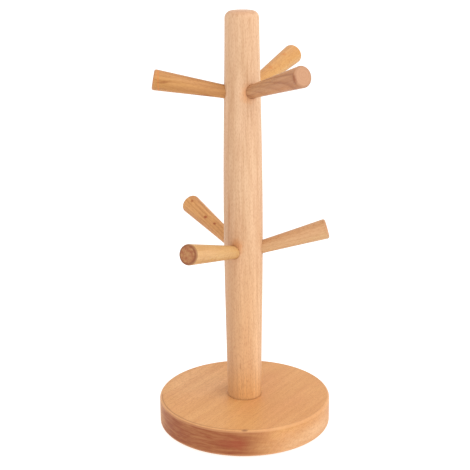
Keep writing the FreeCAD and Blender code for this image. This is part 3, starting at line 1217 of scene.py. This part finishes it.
@dataclass
class Studio:
    """A plain white sweep, a large soft key from the front right, white surroundings, and the camera."""

    camera_place: tuple[float, float, float] = (0.0, -0.8888, 0.4328)
    pan: float = 0.452  # degrees to the left of straight on
    dip: float = 16.542  # degrees below the level
    roll: float = -0.55  # degrees
    lens: float = 84.84  # millimetres
    frame_width: float = 36.0  # millimetres
    key_azimuth: float = -35.0
    key_rise: float = 45.0
    key_distance: float = 1.8
    key_aim: float = 0.18  # the height that the key light looks at
    key_size: float = 2.1
    key_watts: float = 17.0
    surroundings: float = 1.04
    floor_grey: float = 0.4
    floor_glow: float = 0.8
    floor_size: float = 60.0
    floor_lines: int = 9

    def make(self) -> None:
        """Builds the floor, the lights and the camera."""
        self._make_floor()
        self._make_lights()
        self._make_camera()

    def _make_floor(self) -> None:
        """Lays the floor, a flat grid that glows a little, so that shadows on it stay faint."""
        edge = np.linspace(-self.floor_size / 2, self.floor_size / 2, self.floor_lines)
        across, through = np.meshgrid(edge, edge)
        points = np.stack([across, through, np.zeros_like(across)], axis=-1).reshape(-1, 3)
        index = np.arange(self.floor_lines**2).reshape(self.floor_lines, self.floor_lines)
        faces = np.stack([index[:-1, :-1], index[:-1, 1:], index[1:, 1:], index[1:, :-1]], axis=-1)
        mesh = bpy.data.meshes.new("studio_floor")
        mesh.from_pydata(points.tolist(), [], faces.reshape(-1, 4).tolist())
        floor = linked("studio_floor", mesh)
        grey = (self.floor_grey, self.floor_grey, self.floor_grey, 1)
        sockets = {"Base Color": grey, "Roughness": 0.9, "Specular IOR Level": 0.0}
        sockets.update({"Emission Color": (1, 1, 1, 1), "Emission Strength": self.floor_glow})
        mesh.materials.append(Bench("white_sweep").finish(sockets))

    def _make_lights(self) -> None:
        """Hangs the key light and makes the surroundings white."""
        world = bpy.data.worlds.new("white_room")
        world.use_nodes = True
        background = world.node_tree.nodes["Background"].inputs
        background["Color"].default_value = (1, 1, 1, 1)
        background["Strength"].default_value = self.surroundings
        bpy.context.scene.world = world
        light = bpy.data.lights.new("key", "AREA")
        light.shape, light.size, light.energy = "DISK", self.key_size, self.key_watts
        key = linked("key", light)
        turn, rise = math.radians(self.key_azimuth), math.radians(self.key_rise)
        level = math.cos(rise)
        towards = Vector((level * math.cos(turn), level * math.sin(turn), math.sin(rise)))
        key.location = towards * self.key_distance + UP * self.key_aim
        key.rotation_euler = towards.to_track_quat("Z", "Y").to_euler()

    def _make_camera(self) -> None:
        """Sets up the camera: dipped, panned and rolled a little."""
        lens = bpy.data.cameras.new("camera")
        lens.lens, lens.sensor_width = self.lens, self.frame_width
        lens.clip_start, lens.clip_end = 0.01, 100.0
        camera = linked("camera", lens)
        turns = ((self.pan, "Z"), (90 - self.dip, "X"), (self.roll, "Z"))
        pan, dip, roll = (Matrix.Rotation(math.radians(angle), 3, axis) for angle, axis in turns)
        camera.location = self.camera_place
        camera.rotation_euler = (pan @ dip @ roll).to_euler()
        bpy.context.scene.camera = camera
        bpy.context.scene.view_settings.view_transform = "Standard"


# --- The mug tree ---


class Reach(Enum):
    """How far an arm's end is from the post's axis."""

    SIDE = 73.0 * MM
    CORNER = 84.5 * MM


@dataclass(frozen=True)
class ArmBeech(Beech):
    """The beech of an arm, with closer rings than the post's."""

    ring: float = 2.2 * MM
    lean: float = 0.07
    rings_show: float = 0.5
    lines_show: float = 0.45
    rays_show: float = 0.4
    end_rings_show: float = 0.1
    end_show: float = 0.7
    patch_scale: tuple[float, float, float] = (420.0, 420.0, 420.0)


@dataclass
class ArmPlan:
    """What is particular to one arm: its node, its reach, and its wood, whose grain follows its line."""

    name: str
    reach: Reach
    wood: Beech


ARM_PLANS = (
    ArmPlan("upper_left_arm", Reach.SIDE, ArmBeech(
        "upper_left_arm_beech", paint(194, 142, 79), paint(142, 84, 32), paint(182, 116, 64),
        (0.006, 0.020), 1.3, lines_show=0.38, rim=paint(200, 132, 84), rim_show=0.3, marks=(
            Mark((-0.0669, -0.0040, 0.3000), (0.0011, 0.040, 0.040), paint(206, 116, 54), 0.42, 0.15),
            Mark((-0.0630, -0.0100, 0.2992), (0.0090, 0.004, 0.0017), paint(140, 78, 30), 0.7, 0.4),
            Mark((-0.0340, -0.0040, 0.2873), (0.0150, 0.005, 0.0022), paint(140, 74, 30), 0.6, 0.4),
        ),
    )),
    ArmPlan("upper_front_right_arm", Reach.CORNER, ArmBeech(
        "upper_front_right_arm_beech", paint(196, 146, 102), paint(136, 80, 50), paint(184, 138, 106),
        (0.000, 0.015), 2.7, rings_show=0.65, end_show=0.88, lean=0.16, patch_show=0.1, marks=(
            Mark((0.0382, -0.0715, 0.3092), (0.0030, 0.0026, 0.0065), paint(132, 70, 42), 0.55, 0.3),
        ),
    )),
    ArmPlan("upper_rear_right_arm", Reach.CORNER, ArmBeech(
        "upper_rear_right_arm_beech", paint(202, 154, 93), paint(176, 110, 46), paint(194, 142, 86),
        (0.030, 0.022), 3.1, rings_show=0.22, lines_show=0.2, rim=paint(220, 140, 66), rim_show=0.4, marks=(
            Mark((0.0354, 0.0502, 0.3128), (0.0030, 0.003, 0.0026), paint(186, 106, 44), 0.5),
            Mark((0.0231, 0.0306, 0.3047), (0.0030, 0.003, 0.0030), paint(186, 106, 44), 0.5),
        ),
    )),
    ArmPlan("lower_right_arm", Reach.SIDE, ArmBeech(
        "lower_right_arm_beech", paint(204, 162, 116), paint(166, 114, 70), paint(188, 130, 90),
        (-0.020, 0.030), 4.9, rings_show=0.3, lines_show=0.34,
    )),
    ArmPlan("lower_rear_left_arm", Reach.CORNER, ArmBeech(
        "lower_rear_left_arm_beech", paint(222, 166, 98), paint(150, 86, 38), paint(196, 132, 84),
        (0.012, -0.024), 5.6, lines_show=0.55, marks=(
            Mark((-0.0248, 0.0274, 0.1711), (0.0024, 0.003, 0.0015), paint(150, 66, 24), 0.85, 0.35),
            Mark((-0.0327, 0.0364, 0.1745), (0.0030, 0.003, 0.0017), paint(150, 66, 24), 0.85, 0.35),
            Mark((-0.0451, 0.0553, 0.1839), (0.0022, 0.003, 0.0018), paint(150, 70, 28), 0.7, 0.35),
        ),
    )),
    ArmPlan("lower_front_left_arm", Reach.CORNER, ArmBeech(
        "lower_front_left_arm_beech", paint(203, 162, 106), paint(180, 130, 72), paint(150, 88, 56),
        (0.034, 0.018), 6.2, rings_show=0.25, end_show=0.95, patch_show=0.4, rim=paint(112, 60, 32),
        rim_show=0.5,
    )),
)
BASE_GRAIN = math.radians(57)  # the azimuth that the base's grain runs along
BASE_WOOD = Beech(
    "base_beech", paint(211, 156, 98), paint(184, 122, 66), paint(134, 64, 30), (0.050, 0.030), 0.4,
    grain=(math.cos(BASE_GRAIN), math.sin(BASE_GRAIN), 0.0), ring=3.6 * MM, rings_show=0.2, rays_show=0.45,
    end_show=0.95, patch_show=0.26, patch_scale=(60.0, 60.0, 520.0), end_from=0.52, end_full=0.93,
    # the lighter rim is a painted highlight along the base's rounded top edge, partly wear
    rim=paint(222, 166, 118), rim_show=0.28, blush=paint(202, 136, 88), blush_show=0.5,
    tints_and_painted_light=(
        Mark((0.0520, -0.0500, 0.0070), (0.0550, 0.045, 0.017), paint(220, 176, 134), 0.7, 0.2),
        Mark((0.0350, -0.0380, 0.0250), (0.0450, 0.030, 0.010), paint(200, 138, 80), 0.4, 0.4),
        # painted light that lifts the post's cast shadow on the base's top behind and left of the post
        Mark((-0.0450, 0.0260, 0.0250), (0.0520, 0.052, 0.012), paint(236, 184, 130), 0.55, 0.3),
    ),
    marks=(
        Mark((-0.0060, -0.0735, 0.0130), (0.0120, 0.010, 0.0075), paint(146, 62, 34), 0.6, 0.25),
        Mark((-0.0165, -0.0715, 0.0130), (0.0110, 0.010, 0.0055), paint(140, 60, 32), 0.55, 0.25),
        Mark((-0.0003, -0.0722, 0.0246), (0.0040, 0.0018, 0.0012), paint(100, 48, 20), 0.95, 0.2),
    ),
)
POST_WOOD = Beech(
    "post_beech", paint(220, 182, 145), paint(184, 138, 98), paint(200, 150, 116), (0.004, 0.042), 0.0,
    # the post's joint shade is warm: painted contact shadow with warm bounce light round the arms' roots
    streaks_show=0.24, lines_show=0.5, joint_shade_tone=paint(160, 92, 46),
    tints_and_painted_light=(
        # painted contact shade with warm bounce light on the post round the lower front left arm's root
        Mark((-0.0062, -0.0150, 0.1630), (0.0085, 0.010, 0.0100), paint(210, 132, 70), 0.8, 0.3),
        # painted contact shade with warm bounce light on the post round the upper front right arm's root
        Mark((0.0050, -0.0155, 0.2890), (0.0085, 0.010, 0.0120), paint(228, 146, 78), 0.75, 0.3),
        # painted light that lifts the shade at the post's foot
        Mark((0.0040, 0.0, 0.0240), (0.045, 0.045, 0.040), paint(244, 188, 112), 0.85, 0.1),
        # a warmer tone towards the foot, partly wood tone and partly painted warm bounce light from the base
        Mark((0.0, 0.0, 0.030), (0.08, 0.08, 0.20), paint(220, 160, 102), 0.6, 0.1),
        # painted shade down the post's left side
        Mark((-0.0125, -0.0070, 0.130), (0.0180, 0.020, 0.210), paint(186, 143, 108), 0.6, 0.2),
        # painted highlight on the post's upper front right
        Mark((0.0080, -0.0130, 0.260), (0.0130, 0.020, 0.200), paint(232, 196, 160), 0.25, 0.1),
        # painted light on the post's lower right side, which faces the key light
        Mark((0.0125, -0.0080, 0.080), (0.0110, 0.020, 0.075), paint(240, 200, 158), 0.5, 0.2),
    ),
    marks=(
        Mark((-0.0033, -0.0146, 0.0560), (0.0009, 0.002, 0.0055), paint(140, 84, 42), 0.45, 0.3),
        Mark((-0.0115, -0.0111, 0.190), (0.0010, 0.003, 0.024), paint(180, 122, 78), 0.5, 0.6),
    ),
)
ROOT_CLEARANCE = 16.0 * MM  # the post's radius, as the arms' roots see it
ROOT_GAP = 0.5 * MM  # plain tenon left outside the post


def make_arms() -> list[Arm]:
    """Plans every arm from the record's mounts and the list above.

    A taper starts where the whole ring round the tenon is clear of the post: the post's radius over the
    cosine of the slant, plus the tenon's radius times its tangent, plus a gap.

    Returns:
        The arms.
    """
    arms = []
    for plan in ARM_PLANS:
        peg = Peg.from_record(plan.name, plan.reach.value)
        slant = math.asin(peg.direction.z)
        root = ROOT_CLEARANCE / math.cos(slant) + Arm.tenon_radius * math.tan(slant) + ROOT_GAP
        arms.append(Arm(peg, replace(plan.wood, grain=tuple(peg.direction)), root))
    return arms


def main() -> None:
    """Builds the mug tree, piece by piece, and the studio round it."""
    logging.basicConfig(level=logging.INFO, format="%(message)s")
    arms = make_arms()
    Base(BASE_WOOD).make()
    Post(POST_WOOD, [arm.peg for arm in arms]).make()
    for arm in arms:
        arm.make()
    Fixing().make()
    Pads().make()
    Studio().make()


if __name__ == "__main__":
    main()
